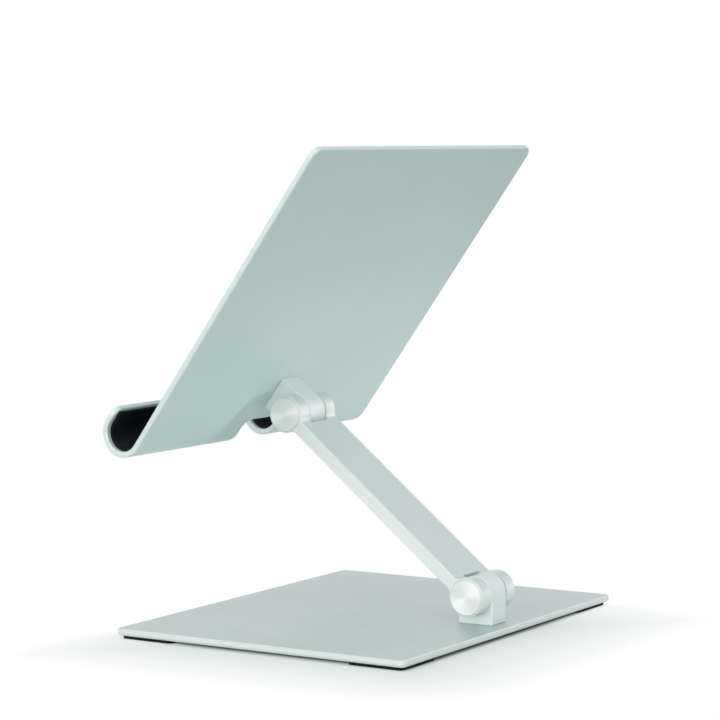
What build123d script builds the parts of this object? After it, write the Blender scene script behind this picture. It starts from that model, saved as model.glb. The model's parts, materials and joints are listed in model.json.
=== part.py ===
from build123d import *

import os
from math import copysign, cos, radians, sin

# A desk stand of anodised aluminium. A flat base carries one forked arm on a friction hinge, and a
# second hinge at the arm's upper end carries a bent holder plate with two hooks.
# Millimetres, +Z up, the user at -Y. The origin is on the table, under the middle of the stand's box.

os.makedirs("parts", exist_ok=True)

# Pose in which the stand is modelled
arm_angle = 38.9
plate_tilt = 53.3

# Base plate and feet
base_width = 155.0
base_depth = 126.0
base_thickness = 2.7
base_corner_radius = 2.0
base_lower_round = 1.2
edge_break = 0.4
foot_size = 23.0
foot_height = 1.2
foot_inset = 1.5
foot_corner_radius = 2.0

# Hinge positions
hinge_rear_inset = 13.5
base_hinge_height = 11.0
holder_standoff = 12.4
arm_length = 102.6

# Hinge bolt, nut and disc spring, alike in both hinges
bolt_radius = 2.5
bolt_head_radius = 4.25
bolt_head_height = 2.5
bolt_socket_flats = 3.0
bolt_socket_depth = 1.5
nut_flats = 8.0
nut_height = 2.7
spring_radius = 4.5
spring_thickness = 0.5
spring_height = 0.8
bolt_clearance = 0.05
pocket_clearance = 0.2
cover_gap = 0.1

# Blocks, flanged bushes and end caps
block_width = 10.8
bush_wall = 1.0
bush_flange = 0.35
bush_flange_setback = 0.6
bush_end_gap = 0.4
press_clearance = 0.02
hinge_side_clearance = 0.05
cap_thickness = 1.5
cap_proud = 0.2
cap_ledge = 1.9
cap_rim = 0.5
cap_chamfer = 0.25

# Arm
arm_thickness = 5.2
arm_blend_radius = 2.5
arm_edge_break = 0.3
ear_web = 1.6
slot_end_gap = 1.1

# Block screws
screw_radius = 1.5
screw_head_radius = 2.8
screw_edge_distance = 3.2
screw_socket_flats = 2.0
screw_socket_depth = 0.8
screw_bore_wall = 1.5
screw_tip_gap = 0.3
screw_clearance = 0.05

# Holder plate
plate_width = 154.0
plate_thickness = 2.2
plate_rise = 116.7
plate_corner_radius = 4.5
hook_drop = 28.2
hook_outer_radius = 9.0
lip_height = 6.0
lip_corner_radius = 4.0
notch_width = 25.5
notch_corner_radius = 4.0
notch_block_gap = 6.2

# Rubber on the holder plate
pad_thickness = 1.5
pad_edge_gap = 8.0
pad_notch_gap = 5.0
pad_corner_radius = 6.0
liner_thickness = 1.0
liner_end_gap = 2.0
liner_top_gap = 1.0

# Sizes that follow from fits
nut_corner_radius = nut_flats / 2 / cos(radians(30))
pocket_radius = max(bolt_head_radius, spring_radius, nut_corner_radius) + pocket_clearance
cap_radius = pocket_radius + cap_ledge
knuckle_radius = cap_radius + cap_rim
bolt_bore_radius = bolt_radius + bolt_clearance
bush_radius = bolt_bore_radius + bush_wall
cap_seat = cap_thickness - cap_proud
head_pocket_depth = spring_height + bolt_head_height + cover_gap
nut_pocket_depth = nut_height + cover_gap
slot_width = block_width + 2 * (bush_flange + hinge_side_clearance)
arm_width = slot_width + 2 * (ear_web + max(head_pocket_depth, nut_pocket_depth) + cap_seat)
screw_offset = knuckle_radius - screw_edge_distance
screw_head_height = screw_head_radius - screw_radius
screw_grip = min(base_hinge_height, holder_standoff) - bush_radius - screw_bore_wall
hook_inner_radius = hook_outer_radius - plate_thickness
hook_centre_u = hook_outer_radius - hook_drop
hook_centre_n = holder_standoff + hook_outer_radius
lip_top_u = hook_centre_u + lip_height
notch_top_u = -knuckle_radius - notch_block_gap
plate_front_n = holder_standoff + plate_thickness

# Directions in the side view: along the arm, up the plate (u) and out of the plate's front (n)
arm_direction = Vector(0, -cos(radians(arm_angle)), sin(radians(arm_angle)))
plate_up = Vector(0, cos(radians(plate_tilt)), sin(radians(plate_tilt)))
plate_normal = Vector(0, -sin(radians(plate_tilt)), cos(radians(plate_tilt)))

# The hooks reach further forward than the base, so the box runs from their front to the base's rear edge
hook_centre_y = (plate_up * hook_centre_u + plate_normal * hook_centre_n + arm_direction * arm_length).Y
stand_depth = max(base_depth, hinge_rear_inset + hook_outer_radius - hook_centre_y)
base_rear_y = stand_depth / 2
base_centre_y = base_rear_y - base_depth / 2
base_top = foot_height + base_thickness
base_axis = Vector(0, base_rear_y - hinge_rear_inset, base_top + base_hinge_height)
holder_axis = base_axis + arm_direction * arm_length

# Side planes look along X. In the holder's, local x is u and local y is n.
base_side = Plane(origin=base_axis, x_dir=(0, 1, 0), z_dir=(1, 0, 0))
arm_side = Plane(origin=base_axis, x_dir=arm_direction, z_dir=(1, 0, 0))
holder_side = Plane(origin=holder_axis, x_dir=plate_up, z_dir=(1, 0, 0))

# Planes of the plates' outer faces, where the screw heads sit. In the holder's, local y is u.
base_underside = Plane(origin=(0, base_axis.Y, foot_height), x_dir=(1, 0, 0), z_dir=(0, 0, -1))
holder_front = Plane(
    origin=holder_axis + plate_normal * plate_front_n, x_dir=(1, 0, 0), z_dir=plate_normal
)
hook_middle = holder_front.offset(hook_centre_n - plate_front_n)


# Base plate: a sheet with rounded corners, a rounded lower rim and two countersunk holes under the block
with BuildPart() as base_plate:
    with BuildSketch(Plane.XY.offset(foot_height)):
        with Locations((0, base_centre_y)):
            RectangleRounded(base_width, base_depth, base_corner_radius)
    extrude(amount=base_thickness)
    rims = base_plate.edges().group_by(Axis.Z)
    fillet(rims[0], base_lower_round)
    chamfer(rims[-1], edge_break)
    with Locations(base_underside):
        with GridLocations(0, 2 * screw_offset, 1, 2):
            CounterSinkHole(
                screw_radius + screw_clearance,
                screw_head_radius + screw_clearance,
                depth=base_thickness,
                counter_sink_angle=90,
            )
base_plate.part.label = "base_plate"
export_step(base_plate.part, "parts/base_plate.step")


# Feet: rubber squares set in from each corner
for foot_name, side_x, side_y in (
    ("foot_front_left", -1, -1),
    ("foot_front_right", 1, -1),
    ("foot_rear_left", -1, 1),
    ("foot_rear_right", 1, 1),
):
    with BuildPart() as foot:
        with BuildSketch(Plane.XY):
            foot_x = base_width / 2 - foot_inset - foot_size / 2
            foot_y = base_depth / 2 - foot_inset - foot_size / 2
            with Locations((side_x * foot_x, base_centre_y + side_y * foot_y)):
                RectangleRounded(foot_size, foot_size, foot_corner_radius)
        extrude(amount=foot_height)
    foot.part.label = foot_name
    export_step(foot.part, f"parts/{foot_name}.step")


def make_block(side_plane, seat):
    """Hinge block: round nose on the axis, flat seat at a signed height, bush bore, two tapped holes."""
    with BuildPart() as block:
        with BuildSketch(side_plane):
            Circle(knuckle_radius)
            with Locations((0, seat / 2)):
                Rectangle(2 * knuckle_radius, abs(seat))
            Circle(bush_radius + press_clearance, mode=Mode.SUBTRACT)
        extrude(amount=block_width / 2, both=True)
        seat_plane = Plane(
            origin=side_plane.origin + side_plane.y_dir * seat,
            x_dir=(1, 0, 0),
            z_dir=side_plane.y_dir * copysign(1, seat),
        )
        # The outlines of the two side faces are broken, and so are the seat's two ends
        sides = block.faces().filter_by(Axis.X)
        outlines = ShapeList(side.outer_wire() for side in sides).edges()
        toward_seat = Axis(seat_plane.origin, seat_plane.z_dir)
        seat_ends = block.edges().filter_by(Axis.X).group_by(toward_seat)[-1]
        chamfer(outlines + seat_ends, edge_break)
        with Locations(seat_plane):
            with GridLocations(0, 2 * screw_offset, 1, 2):
                Hole(screw_radius + screw_clearance, depth=screw_grip + screw_tip_gap)
    return block


def make_screws(head_plane, sheet):
    """Two countersunk socket screws, flush with a plate's outer face, that reach into the block."""
    with BuildPart(head_plane) as screws:
        with GridLocations(0, 2 * screw_offset, 1, 2):
            Cone(
                screw_radius,
                screw_head_radius,
                screw_head_height,
                align=(Align.CENTER, Align.CENTER, Align.MAX),
            )
            Cylinder(screw_radius, sheet + screw_grip, align=(Align.CENTER, Align.CENTER, Align.MAX))
        with BuildSketch(head_plane):
            with GridLocations(0, 2 * screw_offset, 1, 2):
                RegularPolygon(screw_socket_flats / 2, 6, major_radius=False)
        extrude(amount=-screw_socket_depth, mode=Mode.SUBTRACT)
    return screws


def make_bush(axis, side):
    """Flanged friction bush, pushed into one side of a block."""
    flange_face = Plane(
        origin=axis + Vector(side * (block_width / 2 + bush_flange), 0, 0), z_dir=(side, 0, 0)
    )
    sleeve_length = (block_width - bush_end_gap) / 2
    with BuildPart() as bush:
        with BuildSketch(flange_face):
            Circle(knuckle_radius - bush_flange_setback)
        extrude(amount=-bush_flange)
        with BuildSketch(flange_face):
            Circle(bush_radius)
        extrude(amount=-bush_flange - sleeve_length)
        with BuildSketch(flange_face):
            Circle(bolt_bore_radius)
        extrude(amount=-bush_flange - sleeve_length, mode=Mode.SUBTRACT)
    return bush


# Each hinge has a block with its screws and bushes, one on the base and one on the holder
for hinge, axis, side_plane, seat, head_plane, sheet in (
    ("base", base_axis, base_side, -base_hinge_height, base_underside, base_thickness),
    ("holder", holder_axis, holder_side, holder_standoff, holder_front, plate_thickness),
):
    block = make_block(side_plane, seat)
    block.part.label = f"{hinge}_block"
    export_step(block.part, f"parts/{hinge}_block.step")

    screws = make_screws(head_plane, sheet)
    screws.part.label = f"{hinge}_block_screws"
    export_step(screws.part, f"parts/{hinge}_block_screws.step")

    for side_name, side in (("left", -1), ("right", 1)):
        bush = make_bush(axis, side)
        bush.part.label = f"{hinge}_bush_{side_name}"
        export_step(bush.part, f"parts/{hinge}_bush_{side_name}.step")


# Arm: a flat bar with a round knuckle at each end, slotted over the blocks, with pockets for the bolts
with BuildPart() as arm:
    with BuildSketch(arm_side) as arm_profile:
        with Locations((arm_length / 2, 0)):
            Rectangle(arm_length, arm_thickness)
        with Locations((0, 0), (arm_length, 0)):
            Circle(knuckle_radius)
        inner_corners = arm_profile.vertices().filter_by(
            lambda v: knuckle_radius / 2 < v.X < arm_length - knuckle_radius / 2
        )
        fillet(inner_corners, arm_blend_radius)
    extrude(amount=arm_width / 2, both=True)
    outlines = arm.faces().filter_by(Axis.X)
    chamfer(outlines.edges(), arm_edge_break)
    with BuildSketch(arm_side):
        slot_length = 2 * (knuckle_radius + slot_end_gap)
        with Locations((0, 0), (arm_length, 0)):
            Rectangle(slot_length, 2 * knuckle_radius)
    extrude(amount=slot_width / 2, both=True, mode=Mode.SUBTRACT)
    for axis in (base_axis, holder_axis):
        for side in (1, -1):
            ear_face = Plane(origin=axis + Vector(side * arm_width / 2, 0, 0), z_dir=(side, 0, 0))
            with BuildSketch(ear_face):
                Circle(cap_radius + press_clearance)
            extrude(amount=-cap_seat, mode=Mode.SUBTRACT)
            with BuildSketch(ear_face):
                if side > 0:
                    Circle(pocket_radius)
                else:
                    RegularPolygon(nut_flats / 2 + press_clearance, 6, major_radius=False)
            pocket_depth = head_pocket_depth if side > 0 else nut_pocket_depth
            extrude(amount=-cap_seat - pocket_depth, mode=Mode.SUBTRACT)
            with BuildSketch(ear_face):
                Circle(bolt_bore_radius)
            extrude(amount=-arm_width / 2, mode=Mode.SUBTRACT)
arm.part.label = "arm"
export_step(arm.part, "parts/arm.step")


# Bolt, disc spring, nut and caps in each hinge. The head side is +X, the nut side -X.
spring_seat_x = arm_width / 2 - cap_seat - head_pocket_depth
nut_seat_x = arm_width / 2 - cap_seat - nut_pocket_depth
head_seat_x = spring_seat_x + spring_height
for hinge, axis in (("base", base_axis), ("holder", holder_axis)):
    head_seat = Plane(origin=axis + Vector(head_seat_x, 0, 0), z_dir=(1, 0, 0))
    with BuildPart() as bolt:
        with BuildSketch(head_seat):
            Circle(bolt_head_radius)
        extrude(amount=bolt_head_height)
        with BuildSketch(head_seat):
            Circle(bolt_radius)
        extrude(amount=-head_seat_x - nut_seat_x - nut_height)
        with BuildSketch(head_seat.offset(bolt_head_height)):
            RegularPolygon(bolt_socket_flats / 2, 6, major_radius=False)
        extrude(amount=-bolt_socket_depth, mode=Mode.SUBTRACT)
    bolt.part.label = f"{hinge}_hinge_bolt"
    export_step(bolt.part, f"parts/{hinge}_hinge_bolt.step")

    nut_seat = Plane(origin=axis - Vector(nut_seat_x, 0, 0), z_dir=(-1, 0, 0))
    with BuildPart() as nut:
        with BuildSketch(nut_seat):
            RegularPolygon(nut_flats / 2, 6, major_radius=False)
            Circle(bolt_bore_radius, mode=Mode.SUBTRACT)
        extrude(amount=nut_height)
    nut.part.label = f"{hinge}_hinge_nut"
    export_step(nut.part, f"parts/{hinge}_hinge_nut.step")

    spring_section = Plane(origin=axis + Vector(spring_seat_x, 0, 0), x_dir=(0, 1, 0), z_dir=(0, 0, -1))
    with BuildPart() as spring:
        with BuildSketch(spring_section):
            with BuildLine():
                Polyline(
                    (bolt_bore_radius, spring_height - spring_thickness),
                    (spring_radius, 0),
                    (spring_radius, spring_thickness),
                    (bolt_bore_radius, spring_height),
                    close=True,
                )
            make_face()
        revolve(axis=Axis(axis, (1, 0, 0)))
    spring.part.label = f"{hinge}_hinge_spring"
    export_step(spring.part, f"parts/{hinge}_hinge_spring.step")

    for side_name, side in (("left", -1), ("right", 1)):
        cap_back = Plane(
            origin=axis + Vector(side * (arm_width / 2 - cap_seat), 0, 0), z_dir=(side, 0, 0)
        )
        with BuildPart() as cap:
            with BuildSketch(cap_back):
                Circle(cap_radius)
            extrude(amount=cap_thickness)
            outer_rim = cap.edges().sort_by(Axis(axis, (side, 0, 0)))[-1]
            chamfer(outer_rim, cap_chamfer)
        cap.part.label = f"{hinge}_cap_{side_name}"
        export_step(cap.part, f"parts/{hinge}_cap_{side_name}.step")


# Holder plate: one sheet, its lower edge bent into a hook, cut by a notch that leaves two hooks
with BuildPart() as holder_plate:
    with BuildSketch(holder_side):
        with BuildLine():
            bend_centre = (hook_centre_u, hook_centre_n)
            back = Line((plate_rise, holder_standoff), (hook_centre_u, holder_standoff))
            outer_bend = CenterArc(bend_centre, hook_outer_radius, 90, 180)
            inner_bend = CenterArc(bend_centre, hook_inner_radius, 90, 180)
            Polyline(
                outer_bend @ 0,
                (lip_top_u, (outer_bend @ 0).Y),
                (lip_top_u, (inner_bend @ 0).Y),
                inner_bend @ 0,
            )
            Polyline(inner_bend @ 1, (plate_rise, plate_front_n), back @ 0)
        make_face()
    extrude(amount=plate_width / 2, both=True)
    with BuildSketch(hook_middle) as notch:
        with Locations((0, notch_top_u)):
            Rectangle(notch_width, hook_drop, align=(Align.CENTER, Align.MAX))
        fillet(notch.vertices().group_by(Axis.Y)[-1], notch_corner_radius)
    extrude(amount=-2 * hook_outer_radius, mode=Mode.SUBTRACT)
    with BuildSketch(hook_middle):
        with Locations((0, lip_top_u)):
            Rectangle(notch_width, 2 * hook_drop)
    extrude(amount=2 * hook_outer_radius, mode=Mode.SUBTRACT)
    up_the_plate = Axis(holder_axis, plate_up)
    through_sheet = Axis(holder_axis, plate_normal)
    corners = holder_plate.edges().filter_by(through_sheet)
    fillet(corners.group_by(up_the_plate)[-1], plate_corner_radius)
    fillet(corners.group_by(through_sheet)[-1], lip_corner_radius)
    # The rims of the flat faces are broken, and the hooks' rims with them, but not where the bends start
    flat_faces = holder_plate.faces().filter_by(through_sheet).sort_by(SortBy.AREA)[-2:]
    bend_starts = flat_faces.edges().group_by(up_the_plate)[0]
    chamfer(flat_faces.edges() - bend_starts, edge_break)
    with Locations(holder_front):
        with GridLocations(0, 2 * screw_offset, 1, 2):
            CounterSinkHole(
                screw_radius + screw_clearance,
                screw_head_radius + screw_clearance,
                depth=plate_thickness,
                counter_sink_angle=90,
            )
holder_plate.part.label = "holder_plate"
export_step(holder_plate.part, "parts/holder_plate.step")


# Pad: a rubber sheet on the plate's front, over the screw heads
with BuildPart() as plate_pad:
    with BuildSketch(holder_front):
        pad_bottom = notch_top_u + pad_notch_gap
        pad_top = plate_rise - pad_edge_gap
        with Locations((0, (pad_bottom + pad_top) / 2)):
            RectangleRounded(plate_width - 2 * pad_edge_gap, pad_top - pad_bottom, pad_corner_radius)
    extrude(amount=pad_thickness)
plate_pad.part.label = "plate_pad"
export_step(plate_pad.part, "parts/plate_pad.step")


# Liners: a rubber strip folded into each hook
for side_name, side in (("left", -1), ("right", 1)):
    liner_start = notch_width / 2 + liner_end_gap
    liner_end = plate_width / 2 - liner_end_gap
    with BuildPart() as liner:
        with BuildSketch(holder_side.offset(side * liner_start)):
            with BuildLine():
                bend_centre = (hook_centre_u, hook_centre_n)
                outer_bend = CenterArc(bend_centre, hook_inner_radius, 90, 180)
                inner_bend = CenterArc(bend_centre, hook_inner_radius - liner_thickness, 90, 180)
                for end in (0, 1):
                    Polyline(
                        outer_bend @ end,
                        (lip_top_u - liner_top_gap, (outer_bend @ end).Y),
                        (lip_top_u - liner_top_gap, (inner_bend @ end).Y),
                        inner_bend @ end,
                    )
            make_face()
        extrude(amount=side * (liner_end - liner_start))
    liner.part.label = f"hook_liner_{side_name}"
    export_step(liner.part, f"parts/hook_liner_{side_name}.step")
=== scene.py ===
import json
import math

import bmesh
import bpy
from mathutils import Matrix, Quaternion, Vector


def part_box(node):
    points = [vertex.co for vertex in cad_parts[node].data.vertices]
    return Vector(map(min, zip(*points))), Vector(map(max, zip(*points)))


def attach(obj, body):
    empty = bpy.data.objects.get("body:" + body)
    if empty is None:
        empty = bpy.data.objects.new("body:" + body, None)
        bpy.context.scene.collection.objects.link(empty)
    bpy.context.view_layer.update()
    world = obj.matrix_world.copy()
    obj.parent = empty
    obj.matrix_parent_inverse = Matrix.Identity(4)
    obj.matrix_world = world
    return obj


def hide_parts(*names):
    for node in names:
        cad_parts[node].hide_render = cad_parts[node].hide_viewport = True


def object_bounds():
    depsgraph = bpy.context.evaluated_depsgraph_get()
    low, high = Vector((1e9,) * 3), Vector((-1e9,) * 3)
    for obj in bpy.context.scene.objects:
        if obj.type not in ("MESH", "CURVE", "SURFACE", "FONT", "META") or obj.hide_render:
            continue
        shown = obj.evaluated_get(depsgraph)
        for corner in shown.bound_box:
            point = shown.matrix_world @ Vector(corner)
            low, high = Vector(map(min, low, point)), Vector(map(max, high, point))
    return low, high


# Desk stand of anodised aluminium: a flat base, one forked arm on friction hinges, and a bent
# holder plate with two hooks. The sections follow the order in which it is put together. Metres.
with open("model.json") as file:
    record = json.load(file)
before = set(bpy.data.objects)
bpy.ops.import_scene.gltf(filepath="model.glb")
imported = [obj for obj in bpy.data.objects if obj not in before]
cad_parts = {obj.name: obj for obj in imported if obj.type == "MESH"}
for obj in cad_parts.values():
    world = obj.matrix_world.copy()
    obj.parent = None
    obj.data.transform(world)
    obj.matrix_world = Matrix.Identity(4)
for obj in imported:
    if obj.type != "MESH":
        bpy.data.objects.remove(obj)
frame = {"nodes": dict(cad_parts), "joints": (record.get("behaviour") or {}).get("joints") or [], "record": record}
nodes = frame["nodes"]
cad_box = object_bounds()


# Base plate: a sheet of aluminium, cut to shape and blasted with fine glass beads, then anodised clear.
# Blasting leaves a matt grain that hardly shows from a step away, and the tank leaves faint clouds of
# tone. Its rims and side faces take a lighter tone: cut bright on the chamfers, and painted light on the
# side faces.
base_sheet_tone = (0.50, 0.61, 0.60)
base_sheet_shade = (0.48, 0.59, 0.58)
# The lighter tone of the rims and sides: cut-bright chamfers, and painted light on the side faces.
base_rim_and_painted_light_tone = (0.68, 0.74, 0.73)
oxide_clear = 0.4
matt_swing = 0.025
pit_depth = 0.00003


def add_node(tree, kind, **settings):
    """Adds one shader node and sets its properties, or the default of an input given by name."""
    node = tree.nodes.new(kind)
    for name, value in settings.items():
        if hasattr(node, name):
            setattr(node, name, value)
        else:
            node.inputs[name.replace("_", " ")].default_value = value
    return node


def new_group(name, inputs, outputs):
    """A shader node group with named sockets; gives the group and its two end nodes."""
    group = bpy.data.node_groups.new(name, "ShaderNodeTree")
    for socket, kind, value in inputs:
        made = group.interface.new_socket(socket, in_out="INPUT", socket_type=kind)
        made.default_value = value
    for socket, kind in outputs:
        group.interface.new_socket(socket, in_out="OUTPUT", socket_type=kind)
    return group, group.nodes.new("NodeGroupInput"), group.nodes.new("NodeGroupOutput")


def new_material(name):
    """A material of nodes; gives the material, its node tree and its shader."""
    material = bpy.data.materials.new(name)
    material.use_nodes = True
    return material, material.node_tree, material.node_tree.nodes["Principled BSDF"]


def two_tones(tree, first, second):
    """Adds a mix of two colours; its factor runs from the first to the second."""
    mix = add_node(tree, "ShaderNodeMix", data_type="RGBA")
    mix.inputs[6].default_value = (*first, 1.0)
    mix.inputs[7].default_value = (*second, 1.0)
    return mix


# Grain of blasted metal: pits of a few tenths of a millimetre over clouds of tone some centimetres wide.
# The pits have a small share in the tone too.
pit_share = 0.3
blasted_grain, grain_in, grain_out = new_group(
    "blasted_grain",
    [("Pits", "NodeSocketFloat", 4500.0), ("Clouds", "NodeSocketFloat", 30.0)],
    [("Height", "NodeSocketFloat"), ("Tone", "NodeSocketFloat"), ("Sheen", "NodeSocketFloat")],
)
place = add_node(blasted_grain, "ShaderNodeTexCoord")
pits = add_node(blasted_grain, "ShaderNodeTexNoise", Detail=3.0, Roughness=0.6)
clouds = add_node(blasted_grain, "ShaderNodeTexNoise", Detail=2.0, Roughness=0.5)
tone = add_node(blasted_grain, "ShaderNodeMix", data_type="FLOAT")
tone.inputs["Factor"].default_value = pit_share
blasted_grain.links.new(place.outputs["Object"], pits.inputs["Vector"])
blasted_grain.links.new(place.outputs["Object"], clouds.inputs["Vector"])
blasted_grain.links.new(grain_in.outputs["Pits"], pits.inputs["Scale"])
blasted_grain.links.new(grain_in.outputs["Clouds"], clouds.inputs["Scale"])
blasted_grain.links.new(clouds.outputs["Fac"], tone.inputs[2])
blasted_grain.links.new(pits.outputs["Fac"], tone.inputs[3])
blasted_grain.links.new(pits.outputs["Fac"], grain_out.inputs["Height"])
blasted_grain.links.new(tone.outputs[0], grain_out.inputs["Tone"])
blasted_grain.links.new(clouds.outputs["Fac"], grain_out.inputs["Sheen"])

# Masks of rims and sides: Rim is a mask of the faces that lean about 45 degrees from a flat face's
# direction, and with Sides at 1 of all that look sideways too. Flat is a mask of the flat faces with
# their rims. The leans are cosines, between which each mask runs from 0 to 1.
side_lean = (0.3, 0.5)
face_lean = (0.97, 0.85)
rim_and_side_mask, rim_in, rim_out = new_group(
    "rim_and_side_mask",
    [("Face", "NodeSocketVector", (0.0, 0.0, 1.0)), ("Sides", "NodeSocketFloat", 0.0)],
    [("Rim", "NodeSocketFloat"), ("Flat", "NodeSocketFloat")],
)
facing = add_node(rim_and_side_mask, "ShaderNodeTexCoord")
lean = add_node(rim_and_side_mask, "ShaderNodeVectorMath", operation="DOT_PRODUCT")
either_way = add_node(rim_and_side_mask, "ShaderNodeMath", operation="ABSOLUTE")
past_side = add_node(rim_and_side_mask, "ShaderNodeMapRange", From_Min=side_lean[0], From_Max=side_lean[1])
with_sides = add_node(rim_and_side_mask, "ShaderNodeMath", operation="MAXIMUM")
before_face = add_node(rim_and_side_mask, "ShaderNodeMapRange", From_Min=face_lean[0], From_Max=face_lean[1])
both = add_node(rim_and_side_mask, "ShaderNodeMath", operation="MULTIPLY")
rim_and_side_mask.links.new(facing.outputs["Normal"], lean.inputs[0])
rim_and_side_mask.links.new(rim_in.outputs["Face"], lean.inputs[1])
rim_and_side_mask.links.new(lean.outputs["Value"], either_way.inputs[0])
rim_and_side_mask.links.new(either_way.outputs[0], past_side.inputs["Value"])
rim_and_side_mask.links.new(either_way.outputs[0], before_face.inputs["Value"])
rim_and_side_mask.links.new(past_side.outputs[0], with_sides.inputs[0])
rim_and_side_mask.links.new(rim_in.outputs["Sides"], with_sides.inputs[1])
rim_and_side_mask.links.new(with_sides.outputs[0], both.inputs[0])
rim_and_side_mask.links.new(before_face.outputs[0], both.inputs[1])
rim_and_side_mask.links.new(both.outputs[0], rim_out.inputs["Rim"])
rim_and_side_mask.links.new(past_side.outputs[0], rim_out.inputs["Flat"])


def blasted_metal(
    name, tone, shade, rim, face, lighter_part="Rim", sides=0.0, clear=oxide_clear, matt=0.36, rim_matt=0.3,
    clouds=30.0, pits=4500.0, fleck=0.03,
):
    """Blasted, clear anodised aluminium, darker by a fleck in its pits, whose rims take a lighter tone.

    The rims are those next to faces that look along face. Their lighter tone is cut bright on chamfers,
    and painted light on the side faces that the mask takes in.
    """
    material, tree, shader = new_material(name)
    shader.inputs["Metallic"].default_value = clear
    grain = add_node(tree, "ShaderNodeGroup", node_tree=blasted_grain, Clouds=clouds, Pits=pits)
    at_rim = add_node(tree, "ShaderNodeGroup", node_tree=rim_and_side_mask, Face=face, Sides=sides)
    colour = two_tones(tree, shade, tone)
    # Rim tone: cut-bright chamfers, and painted light on the side faces that the mask takes in.
    bright = add_node(tree, "ShaderNodeMix", data_type="RGBA")
    bright.inputs[7].default_value = (*rim, 1.0)
    spread = add_node(
        tree, "ShaderNodeMapRange",
        From_Min=0.3, From_Max=0.7, To_Min=matt + matt_swing, To_Max=matt - matt_swing,
    )
    polish = add_node(tree, "ShaderNodeMix", data_type="FLOAT")
    polish.inputs[3].default_value = rim_matt
    dimple = add_node(tree, "ShaderNodeMapRange", From_Min=0.35, From_Max=0.65, To_Min=1.0 - fleck)
    flecked = add_node(tree, "ShaderNodeMix", data_type="RGBA", blend_type="MULTIPLY")
    flecked.inputs["Factor"].default_value = 1.0
    bump = add_node(tree, "ShaderNodeBump", Strength=0.12, Distance=pit_depth)
    tree.links.new(grain.outputs["Tone"], colour.inputs["Factor"])
    tree.links.new(at_rim.outputs[lighter_part], bright.inputs["Factor"])
    tree.links.new(colour.outputs[2], bright.inputs[6])
    tree.links.new(grain.outputs["Height"], dimple.inputs["Value"])
    tree.links.new(bright.outputs[2], flecked.inputs[6])
    tree.links.new(dimple.outputs[0], flecked.inputs[7])
    tree.links.new(flecked.outputs[2], shader.inputs["Base Color"])
    tree.links.new(grain.outputs["Sheen"], spread.inputs["Value"])
    tree.links.new(at_rim.outputs[lighter_part], polish.inputs["Factor"])
    tree.links.new(spread.outputs[0], polish.inputs[2])
    tree.links.new(polish.outputs[0], shader.inputs["Roughness"])
    tree.links.new(grain.outputs["Height"], bump.inputs["Height"])
    tree.links.new(bump.outputs["Normal"], shader.inputs["Normal"])
    return material


def finish_node(node, material):
    """Gives a solid of the frame its finish, in place of the plain one that it comes with."""
    for slot in nodes[node].material_slots:
        slot.material = material


base_finish = blasted_metal(
    "base_sheet_finish", base_sheet_tone, base_sheet_shade, base_rim_and_painted_light_tone, (0, 0, 1),
    sides=1.0, rim_matt=0.4,
)
finish_node("base_plate", base_finish)


# Feet: four squares of black rubber, cut from moulded sheet and glued under the corners of the base.
# The rims are slightly rounded by the moulding, and the matt skin holds a little dust.
foot_corner = 0.002
foot_corner_steps = 8
foot_rim = 0.00025
sharp_angle = math.radians(40)
parallel = 0.99
skin_depth = 0.00006
rubber_black = (0.005, 0.008, 0.0085)
rubber_dusty = (0.020, 0.024, 0.0245)


def rubber(name):
    """Black rubber: a matt skin with a fine moulded grain, paler where dust lies in it."""
    material, tree, shader = new_material(name)
    shader.inputs["Specular IOR Level"].default_value = 0.12
    place = add_node(tree, "ShaderNodeTexCoord")
    skin = add_node(tree, "ShaderNodeTexVoronoi", Scale=1800.0, feature="SMOOTH_F1")
    dust = add_node(tree, "ShaderNodeTexNoise", Scale=160.0, Detail=4.0, Roughness=0.65)
    dust_spread = add_node(tree, "ShaderNodeMapRange", From_Min=0.5, From_Max=0.8)
    colour = two_tones(tree, rubber_black, rubber_dusty)
    matt = add_node(tree, "ShaderNodeMapRange", To_Min=0.62, To_Max=0.8)
    bump = add_node(tree, "ShaderNodeBump", Strength=0.35, Distance=skin_depth)
    tree.links.new(place.outputs["Object"], skin.inputs["Vector"])
    tree.links.new(place.outputs["Object"], dust.inputs["Vector"])
    tree.links.new(dust.outputs["Fac"], dust_spread.inputs["Value"])
    tree.links.new(dust_spread.outputs[0], colour.inputs["Factor"])
    tree.links.new(colour.outputs[2], shader.inputs["Base Color"])
    tree.links.new(dust.outputs["Fac"], matt.inputs["Value"])
    tree.links.new(matt.outputs[0], shader.inputs["Roughness"])
    tree.links.new(skin.outputs["Distance"], bump.inputs["Height"])
    tree.links.new(bump.outputs["Normal"], shader.inputs["Normal"])
    return material


def round_edges_along(piece, direction, radius, steps):
    """Rounds the edges of a piece that run along a direction, in edit mode."""
    bpy.ops.object.mode_set(mode="EDIT")
    bpy.ops.mesh.select_mode(type="EDGE")
    bpy.ops.mesh.select_all(action="DESELECT")
    mesh = bmesh.from_edit_mesh(piece.data)
    for edge in mesh.edges:
        run = (edge.verts[1].co - edge.verts[0].co).normalized()
        edge.select_set(abs(run.dot(direction)) > parallel)
    bmesh.update_edit_mesh(piece.data)
    bpy.ops.mesh.bevel(offset=radius, segments=steps, affect="EDGES")
    bpy.ops.object.mode_set(mode="OBJECT")


def soften_rims(piece, radius, steps=3):
    """Rounds every sharp rim of a piece a little and shades it smooth."""
    rims = piece.modifiers.new("rims", "BEVEL")
    rims.width = radius
    rims.segments = steps
    rims.limit_method = "ANGLE"
    rims.angle_limit = sharp_angle
    bpy.ops.object.modifier_apply(modifier=rims.name)
    bpy.ops.object.shade_smooth_by_angle(angle=sharp_angle)


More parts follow.
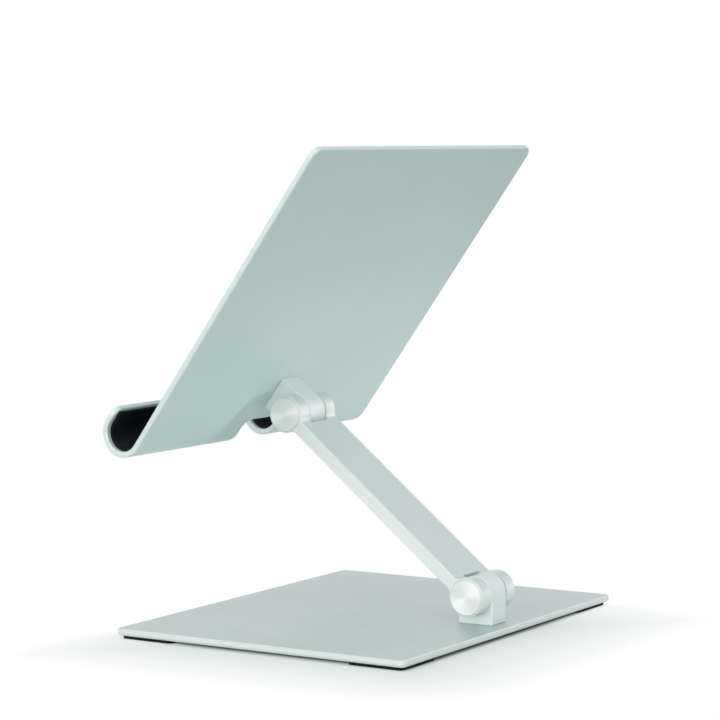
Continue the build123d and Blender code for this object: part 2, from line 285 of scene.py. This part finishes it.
foot_rubber = rubber("foot_rubber")
for corner in ("front_left", "front_right", "rear_left", "rear_right"):
    low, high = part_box("foot_" + corner)
    bpy.ops.object.select_all(action="DESELECT")
    bpy.ops.mesh.primitive_cube_add(size=1, location=(low + high) / 2, scale=high - low)
    bpy.ops.object.transform_apply(location=True, rotation=True, scale=True)
    foot = bpy.context.object
    foot.name = "rubber_foot_" + corner
    round_edges_along(foot, Vector((0, 0, 1)), foot_corner, foot_corner_steps)
    soften_rims(foot, foot_rim)
    foot.data.materials.append(foot_rubber)
    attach(foot, "base")
    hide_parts("foot_" + corner)


# Hinge blocks: milled from flat bar with a round nose, one screwed to the base and one to the holder
# plate. They are blasted and anodised like the sheets. Their two flat sides and the broken edges of
# these take a lighter tone: cut bright on the broken edges, and painted light on the flat sides.
across = Vector((1, 0, 0))
block_tone = (0.731, 0.824, 0.814)
block_shade = (0.711, 0.803, 0.793)
# Painted light: the two flat sides are painted lighter, as if lit from the side.
block_rim_and_painted_light_tone = (0.80, 0.87, 0.86)
milled_oxide_clear = 0.25
milled_matt = 0.58
milled_pits = 2600.0
block_finish = blasted_metal(
    "block_finish", block_tone, block_shade, block_rim_and_painted_light_tone, across,
    lighter_part="Flat", clear=milled_oxide_clear, matt=milled_matt, rim_matt=milled_matt,
    clouds=90.0, pits=milled_pits, fleck=0.05,
)
for block in ("base_block", "holder_block"):
    finish_node(block, block_finish)


# Block screws: countersunk steel screws with a hexagon socket, zinc plated, two through each plate.
# The plating is thin and slightly uneven, with a cool shine.
zinc_tone = (0.60, 0.62, 0.64)
zinc_shade = (0.47, 0.49, 0.51)


def clouded_skin(name, shade, tone, metal, pits, clouds, dull, shiny, pitting):
    """A skin with fine pits, clouded between two tones and, in roughness, between dull and shiny."""
    material, tree, shader = new_material(name)
    shader.inputs["Metallic"].default_value = metal
    grain = add_node(tree, "ShaderNodeGroup", node_tree=blasted_grain, Pits=pits, Clouds=clouds)
    colour = two_tones(tree, shade, tone)
    matt = add_node(tree, "ShaderNodeMapRange", To_Min=dull, To_Max=shiny)
    bump = add_node(tree, "ShaderNodeBump", Strength=pitting, Distance=pit_depth)
    tree.links.new(grain.outputs["Tone"], colour.inputs["Factor"])
    tree.links.new(colour.outputs[2], shader.inputs["Base Color"])
    tree.links.new(grain.outputs["Sheen"], matt.inputs["Value"])
    tree.links.new(matt.outputs[0], shader.inputs["Roughness"])
    tree.links.new(grain.outputs["Height"], bump.inputs["Height"])
    tree.links.new(bump.outputs["Normal"], shader.inputs["Normal"])
    return material


def zinc_plate(name):
    """Zinc plated steel: a thin, slightly clouded plating with a cool shine."""
    return clouded_skin(
        name, zinc_shade, zinc_tone,
        metal=1.0, pits=2600.0, clouds=420.0, dull=0.38, shiny=0.24, pitting=0.15,
    )


screw_zinc = zinc_plate("screw_zinc")
for hinge in ("base", "holder"):
    finish_node(hinge + "_block_screws", screw_zinc)


# Friction bushes: flanged sleeves of black acetal, pushed into each side of the blocks. Only the rims
# of their flanges show, as a thin dark line between block and ear.
acetal_black = (0.018, 0.019, 0.019)
acetal_worn = (0.045, 0.047, 0.047)
acetal = clouded_skin(
    "bush_acetal", acetal_black, acetal_worn,
    metal=0.0, pits=3000.0, clouds=500.0, dull=0.55, shiny=0.4, pitting=0.1,
)
for hinge in ("base", "holder"):
    for side in ("left", "right"):
        finish_node(f"{hinge}_bush_{side}", acetal)


# Arm: a flat bar of aluminium with a round knuckle at each end, slotted to fork over the blocks.
# Its two flats are blasted and all of it is anodised. Its outline takes a lighter tone: cut bright on
# its chamfers, and painted light on its sides and knuckles.
arm_tone = (0.633, 0.731, 0.721)
arm_shade = (0.613, 0.711, 0.700)
# Lighter tone of the outline: cut-bright chamfers, and painted light on the sides and knuckles.
arm_rim_and_painted_light_tone = (0.779, 0.848, 0.832)
hinge_place = {joint["name"]: Vector(joint["pos_m"]) for joint in frame["joints"]}
arm_run = hinge_place["holder_hinge"] - hinge_place["base_hinge"]
arm_flat = arm_run.cross(across).normalized()
arm_finish = blasted_metal(
    "arm_finish", arm_tone, arm_shade, arm_rim_and_painted_light_tone, arm_flat,
    sides=1.0, clear=milled_oxide_clear, matt=milled_matt, rim_matt=milled_matt,
    clouds=60.0, pits=milled_pits, fleck=0.08,
)
finish_node("arm", arm_finish)


# Hinge bolts, nuts and disc springs: they clamp the fork on the bushes, out of sight behind the caps.
# Standard steel parts, zinc plated.
hinge_zinc = zinc_plate("hinge_zinc")
for hinge in ("base", "holder"):
    for piece in ("bolt", "nut", "spring"):
        finish_node(f"{hinge}_hinge_{piece}", hinge_zinc)


# End caps: aluminium discs pressed over the bolts. Their faces are turned on a lathe, which leaves fine
# rings, so light gathers on them in two bright fans. The rim is a turned chamfer, painted darker as the
# painted shade of a fine seam where it meets the arm.
cap_tone = (0.853, 0.884, 0.874)
cap_shade = (0.813, 0.843, 0.833)
cap_seam_painted_shade = (0.60, 0.645, 0.635)

# Turning marks: fine rings round an axis that runs along X through a centre
turned_rings, rings_in, rings_out = new_group(
    "turned_rings",
    [("Centre", "NodeSocketVector", (0.0, 0.0, 0.0)), ("Rings", "NodeSocketFloat", 7000.0)],
    [("Height", "NodeSocketFloat"), ("Tone", "NodeSocketFloat")],
)
place = add_node(turned_rings, "ShaderNodeTexCoord")
from_centre = add_node(turned_rings, "ShaderNodeVectorMath", operation="SUBTRACT")
off_axis = add_node(turned_rings, "ShaderNodeVectorMath", operation="MULTIPLY")
off_axis.inputs[1].default_value = (0.0, 1.0, 1.0)
radius = add_node(turned_rings, "ShaderNodeVectorMath", operation="LENGTH")
fine = add_node(turned_rings, "ShaderNodeTexNoise", noise_dimensions="1D", Detail=2.0)
broad = add_node(turned_rings, "ShaderNodeTexNoise", noise_dimensions="1D", Scale=1400.0, Detail=3.0)
turned_rings.links.new(place.outputs["Object"], from_centre.inputs[0])
turned_rings.links.new(rings_in.outputs["Centre"], from_centre.inputs[1])
turned_rings.links.new(from_centre.outputs[0], off_axis.inputs[0])
turned_rings.links.new(off_axis.outputs[0], radius.inputs[0])
turned_rings.links.new(radius.outputs["Value"], fine.inputs["W"])
turned_rings.links.new(radius.outputs["Value"], broad.inputs["W"])
turned_rings.links.new(rings_in.outputs["Rings"], fine.inputs["Scale"])
turned_rings.links.new(fine.outputs["Fac"], rings_out.inputs["Height"])
turned_rings.links.new(broad.outputs["Fac"], rings_out.inputs["Tone"])


def turned_cap(name, centre):
    """Turned aluminium with rings round a centre, which stretch the shine outwards from it."""
    material, tree, shader = new_material(name)
    shader.inputs["Metallic"].default_value = oxide_clear
    shader.inputs["Anisotropic"].default_value = 0.8
    shader.inputs["Anisotropic Rotation"].default_value = 0.25
    rings = add_node(tree, "ShaderNodeGroup", node_tree=turned_rings, Centre=centre)
    round_axis = add_node(tree, "ShaderNodeTangent", direction_type="RADIAL", axis="X")
    colour = two_tones(tree, cap_shade, cap_tone)
    at_rim = add_node(tree, "ShaderNodeGroup", node_tree=rim_and_side_mask, Face=across)
    # Painted shade: the rim chamfer is painted darker, the shade of a seam with the arm.
    seam_shade = add_node(tree, "ShaderNodeMix", data_type="RGBA")
    seam_shade.inputs[7].default_value = (*cap_seam_painted_shade, 1.0)
    matt = add_node(tree, "ShaderNodeMapRange", To_Min=0.52, To_Max=0.44)
    bump = add_node(tree, "ShaderNodeBump", Strength=0.1, Distance=pit_depth)
    tree.links.new(round_axis.outputs[0], shader.inputs["Tangent"])
    tree.links.new(rings.outputs["Tone"], colour.inputs["Factor"])
    tree.links.new(colour.outputs[2], seam_shade.inputs[6])
    tree.links.new(at_rim.outputs["Rim"], seam_shade.inputs["Factor"])
    tree.links.new(seam_shade.outputs[2], shader.inputs["Base Color"])
    tree.links.new(rings.outputs["Tone"], matt.inputs["Value"])
    tree.links.new(matt.outputs[0], shader.inputs["Roughness"])
    tree.links.new(rings.outputs["Height"], bump.inputs["Height"])
    tree.links.new(bump.outputs["Normal"], shader.inputs["Normal"])
    return material


for hinge in ("base", "holder"):
    cap_finish = turned_cap(hinge + "_cap_finish", hinge_place[hinge + "_hinge"])
    for side in ("left", "right"):
        finish_node(f"{hinge}_cap_{side}", cap_finish)


# Holder plate: one aluminium sheet, bent at its lower edge into two hooks with a notch between them.
# It is blasted, anodised and rim-cut like the base. Its tone is painted lighter than the base's, painted
# light that makes up for the floor's light fading away from the stand.
device_rest = next(mount for mount in frame["record"]["mounts"] if mount["name"] == "device_rest")
plate_out = Vector(device_rest["axis"])
plate_up = plate_out.cross(across)
# Painted light: the sheet's tones are lighter than the base's, for light the floor no longer throws on it.
holder_sheet_painted_light_tone = (0.654, 0.798, 0.786)
holder_sheet_painted_light_shade = (0.630, 0.774, 0.762)
holder_rim = (0.72, 0.79, 0.78)
holder_oxide_clear = 0.2
holder_finish = blasted_metal(
    "holder_sheet_finish", holder_sheet_painted_light_tone, holder_sheet_painted_light_shade, holder_rim, across,
    clear=holder_oxide_clear, matt=0.52,
)
finish_node("holder_plate", holder_finish)


# Pad: a sheet of black rubber glued to the front of the holder plate, for a device to lean on.
# It is moulded with rounded corners and soft rims.
pad_corner = 0.006
pad_corner_steps = 12
pad_rim = 0.0004


def extent(node, direction):
    """How far a solid of the frame reaches along a direction: lowest and highest."""
    reach = [vertex.co.dot(direction) for vertex in nodes[node].data.vertices]
    return min(reach), max(reach)


holder_rubber = rubber("holder_rubber")
pad_reach = [extent("plate_pad", way) for way in (across, plate_up, plate_out)]
pad_middle = [(low + high) / 2 for low, high in pad_reach]
bpy.ops.object.select_all(action="DESELECT")
bpy.ops.mesh.primitive_cube_add(
    size=1,
    location=across * pad_middle[0] + plate_up * pad_middle[1] + plate_out * pad_middle[2],
    rotation=(plate_up.angle((0, 1, 0)), 0, 0),
    scale=[high - low for low, high in pad_reach],
)
bpy.ops.object.transform_apply(location=True, rotation=True, scale=True)
pad = bpy.context.object
pad.name = "rubber_plate_pad"
round_edges_along(pad, plate_out, pad_corner, pad_corner_steps)
soften_rims(pad, pad_rim)
pad.data.materials.append(holder_rubber)
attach(pad, "holder")
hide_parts("plate_pad")


# Hook liners: a rubber strip folded into each hook, which keeps what stands there from slipping.
# Each is one strip: straight up the plate, round the bend and up the lip.
liner_thickness = 0.001
liner_rim = 0.0003
liner_steps = 24
weld_distance = 0.00001
for side in ("left", "right"):
    node = "hook_liner_" + side
    ends = extent(node, across)
    bottom, top = extent(node, plate_up)
    back, front = extent(node, plate_out)
    bend_radius = (front - back) / 2
    leg = top - bottom - bend_radius
    bend_centre = plate_up * (bottom + bend_radius) + plate_out * (back + front) / 2
    bpy.ops.object.select_all(action="DESELECT")
    bpy.ops.mesh.primitive_plane_add(
        size=1,
        location=across * sum(ends) / 2 + plate_up * top + plate_out * (back + liner_thickness / 2),
        rotation=(plate_out.angle((0, 1, 0)), 0, 0),
    )
    liner = bpy.context.object
    liner.name = "rubber_liner_" + side
    liner.scale = (ends[1] - ends[0], liner_thickness, 1)
    bpy.ops.object.transform_apply(location=True, rotation=True, scale=True)
    bpy.ops.object.mode_set(mode="EDIT")
    bpy.ops.mesh.select_all(action="SELECT")
    bpy.ops.mesh.extrude_region_move(TRANSFORM_OT_translate={"value": plate_up * -leg})
    bpy.ops.mesh.spin(steps=liner_steps, angle=math.pi, center=bend_centre, axis=across)
    bpy.ops.mesh.extrude_region_move(TRANSFORM_OT_translate={"value": plate_up * leg})
    bpy.ops.mesh.select_all(action="SELECT")
    bpy.ops.mesh.remove_doubles(threshold=weld_distance)
    bpy.ops.mesh.normals_make_consistent(inside=False)
    bpy.ops.object.mode_set(mode="OBJECT")
    soften_rims(liner, liner_rim)
    liner.data.materials.append(holder_rubber)
    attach(liner, "holder")
    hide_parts(node)


# Floor: a plain white sweep. Seen by the camera and in the metal it is lifted to white, except near
# the base on its right and rear, where the lift fades in and the paper shows a soft shadow: partly its
# real shadow, and partly painted shadow from that fade. Under the base the paper is painted dark, a
# painted shadow. Its colour is painted as a pool of light too, darker away from the base, which shows in
# the light that it throws on the stand. From below it can be looked through.
floor_size = 8.0
floor_drop = 0.00005
floor_white = (0.785, 0.88, 0.86)
# Painted shadow: the paper's colour under the base, and the inset and ramp of its edge.
floor_painted_shadow = (0.22, 0.26, 0.26)
floor_painted_shadow_inset = Vector((0.006, 0.0034, 0))
floor_painted_shadow_ramp = 0.0035
# Near the base the lift to white fades in, which paints part of the soft shadow there.
floor_shadow_reach = 0.055
floor_shadow_lift = 0.16
# Painted pool of light: the paper's colour fades to a fraction between these distances from the base.
floor_painted_pool = (0.05, 0.25)
floor_painted_pool_far = 0.15
shadow_away = Vector((-0.7, -0.7, 0))
shadow_turn = 0.03


def seen_as_it_is(tree):
    """A mask of the rays that show a surface to the camera, straight, mirrored or through glass."""
    rays = add_node(tree, "ShaderNodeLightPath")
    seen_or_mirrored = add_node(tree, "ShaderNodeMath", operation="ADD", use_clamp=True)
    seen_at_all = add_node(tree, "ShaderNodeMath", operation="ADD", use_clamp=True)
    tree.links.new(rays.outputs["Is Camera Ray"], seen_or_mirrored.inputs[0])
    tree.links.new(rays.outputs["Is Glossy Ray"], seen_or_mirrored.inputs[1])
    tree.links.new(seen_or_mirrored.outputs[0], seen_at_all.inputs[0])
    tree.links.new(rays.outputs["Is Transmission Ray"], seen_at_all.inputs[1])
    return seen_at_all.outputs[0]


bpy.ops.object.select_all(action="DESELECT")
bpy.ops.mesh.primitive_plane_add(size=floor_size, location=(0, 0, -floor_drop))
base_low, base_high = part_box("base_plate")
base_middle = (base_low + base_high) / 2
base_reach = (base_high - base_low) / 2
floor = bpy.context.object
floor.name = "floor"
sweep, tree, shader = new_material("white_sweep")
tree.nodes.remove(shader)
paper = add_node(tree, "ShaderNodeBsdfDiffuse")
glow = add_node(tree, "ShaderNodeEmission", Strength=1.0)
place = add_node(tree, "ShaderNodeTexCoord")
from_base = add_node(tree, "ShaderNodeVectorMath", operation="SUBTRACT")
from_base.inputs[1].default_value = base_middle
either_side = add_node(tree, "ShaderNodeVectorMath", operation="ABSOLUTE")
past_edge = add_node(tree, "ShaderNodeVectorMath", operation="SUBTRACT")
past_edge.inputs[1].default_value = (*(base_reach - floor_painted_shadow_inset).xy, 1.0)
outside = add_node(tree, "ShaderNodeVectorMath", operation="MAXIMUM")
distance = add_node(tree, "ShaderNodeVectorMath", operation="LENGTH")
# Painted shadow: the paper is painted dark under the base, with a short ramp past its edge.
uncovered = add_node(tree, "ShaderNodeMapRange", From_Max=floor_painted_shadow_ramp)
sheet = two_tones(tree, floor_painted_shadow, floor_white)
# Painted pool of light: the paper's colour darkens away from the base.
pool = add_node(
    tree, "ShaderNodeMapRange",
    From_Min=floor_painted_pool[0], From_Max=floor_painted_pool[1], To_Min=1.0, To_Max=floor_painted_pool_far,
)
pooled = add_node(tree, "ShaderNodeVectorMath", operation="SCALE")
# Where the lift fades in towards the base, the soft shadow seen there is partly painted shadow.
lift = add_node(tree, "ShaderNodeMapRange", From_Max=floor_shadow_reach, To_Min=floor_shadow_lift)
away = add_node(tree, "ShaderNodeVectorMath", operation="DOT_PRODUCT")
away.inputs[1].default_value = shadow_away
lifted_side = add_node(tree, "ShaderNodeMapRange", From_Min=-shadow_turn, From_Max=shadow_turn)
lifted = add_node(tree, "ShaderNodeMath", operation="ADD", use_clamp=True)
open_floor = add_node(tree, "ShaderNodeMath", operation="MULTIPLY")
share = add_node(tree, "ShaderNodeMath", operation="MULTIPLY")
lit = add_node(tree, "ShaderNodeMixShader")
below = add_node(tree, "ShaderNodeNewGeometry")
clear = add_node(tree, "ShaderNodeBsdfTransparent")
one_way = add_node(tree, "ShaderNodeMixShader")
tree.links.new(place.outputs["Object"], from_base.inputs[0])
tree.links.new(from_base.outputs[0], either_side.inputs[0])
tree.links.new(either_side.outputs[0], past_edge.inputs[0])
tree.links.new(past_edge.outputs[0], outside.inputs[0])
tree.links.new(outside.outputs[0], distance.inputs[0])
tree.links.new(distance.outputs["Value"], lift.inputs["Value"])
tree.links.new(distance.outputs["Value"], uncovered.inputs["Value"])
tree.links.new(uncovered.outputs[0], sheet.inputs["Factor"])
tree.links.new(distance.outputs["Value"], pool.inputs["Value"])
tree.links.new(sheet.outputs[2], pooled.inputs[0])
tree.links.new(pool.outputs[0], pooled.inputs["Scale"])
tree.links.new(pooled.outputs[0], paper.inputs["Color"])
tree.links.new(from_base.outputs[0], away.inputs[0])
tree.links.new(away.outputs["Value"], lifted_side.inputs["Value"])
tree.links.new(lift.outputs[0], lifted.inputs[0])
tree.links.new(lifted_side.outputs[0], lifted.inputs[1])
tree.links.new(lifted.outputs[0], open_floor.inputs[0])
tree.links.new(uncovered.outputs[0], open_floor.inputs[1])
tree.links.new(seen_as_it_is(tree), share.inputs[0])
tree.links.new(open_floor.outputs[0], share.inputs[1])
tree.links.new(share.outputs[0], lit.inputs["Fac"])
tree.links.new(paper.outputs[0], lit.inputs[1])
tree.links.new(glow.outputs[0], lit.inputs[2])
tree.links.new(below.outputs["Backfacing"], one_way.inputs["Fac"])
tree.links.new(lit.outputs[0], one_way.inputs[1])
tree.links.new(clear.outputs[0], one_way.inputs[2])
tree.links.new(one_way.outputs[0], tree.nodes["Material Output"].inputs["Surface"])
floor.data.materials.append(sweep)


# Studio: an even pale surround, white to the camera and in the metal and dimmer as a light, and four soft
# boxes: two on the right of the stand, one on its left and one above it. A low strip light behind it has a
# grid, whose narrow beam brightens the upper hinge and the lower part of the plate.
surround_light = 0.62
white_tint = (1.0, 1.0, 1.0)
warm_tint = (1.0, 0.95, 0.93)
strip_tint = (1.0, 0.88, 0.88)
open_beam = math.radians(180)
grid_beam = math.radians(8.5)
world = bpy.data.worlds.new("studio")
bpy.context.scene.world = world
world.use_nodes = True
tree = world.node_tree
dim = tree.nodes["Background"]
dim.inputs["Color"].default_value = (*white_tint, 1.0)
dim.inputs["Strength"].default_value = surround_light
white = add_node(tree, "ShaderNodeBackground", Color=(*white_tint, 1.0), Strength=1.0)
either = add_node(tree, "ShaderNodeMixShader")
tree.links.new(seen_as_it_is(tree), either.inputs["Fac"])
tree.links.new(dim.outputs[0], either.inputs[1])
tree.links.new(white.outputs[0], either.inputs[2])
tree.links.new(either.outputs[0], tree.nodes["World Output"].inputs["Surface"])

stand_middle = (cad_box[0] + cad_box[1]) / 2
upper_hinge = hinge_place["holder_hinge"]
for name, place, aim, width, height, power, tint, beam in (
    ("near_box", (1.0, -0.4, 0.4), stand_middle, 1.0, 1.0, 2.7, warm_tint, open_beam),
    ("front_box", (1.05, 0.4, 0.22), stand_middle, 1.6, 0.7, 6.5, warm_tint, open_beam),
    ("far_box", (-0.95, 0.75, 0.4), stand_middle, 0.9, 0.9, 1.45, white_tint, open_beam),
    ("top_box", (0.5, 0.3, 1.1), stand_middle, 0.8, 0.8, 1.0, white_tint, open_beam),
    ("strip", (-0.5, 1.0, 0.1), upper_hinge, 0.3, 0.06, 0.02, strip_tint, grid_beam),
):
    bpy.ops.object.light_add(type="AREA", location=place)
    box = bpy.context.object
    box.name = name
    box.data.shape = "RECTANGLE"
    box.data.size = width
    box.data.size_y = height
    box.data.energy = power
    box.data.color = tint
    box.data.spread = beam
    box.rotation_mode = "QUATERNION"
    box.rotation_quaternion = (aim - Vector(place)).to_track_quat("-Z", "Y")


# Camera: behind the stand on its right, just above the table, with a long lens.
camera_place = (0.82017, 0.52927, 0.17797)
camera_yaw = math.radians(32.89)
camera_dip = math.radians(4.547)
camera_roll = math.radians(-0.633)
camera_lens = 128.46
camera_sensor = 36.0
camera_near = 0.01
bpy.ops.object.camera_add(location=camera_place)
camera = bpy.context.object
camera.data.lens = camera_lens
camera.data.sensor_width = camera_sensor
camera.data.clip_start = camera_near
look = Vector((
    -math.cos(camera_yaw) * math.cos(camera_dip),
    -math.sin(camera_yaw) * math.cos(camera_dip),
    -math.sin(camera_dip),
))
camera.rotation_mode = "QUATERNION"
camera.rotation_quaternion = look.to_track_quat("-Z", "Y") @ Quaternion((0, 0, 1), camera_roll)
bpy.context.scene.camera = camera
bpy.context.scene.view_settings.view_transform = "Standard"
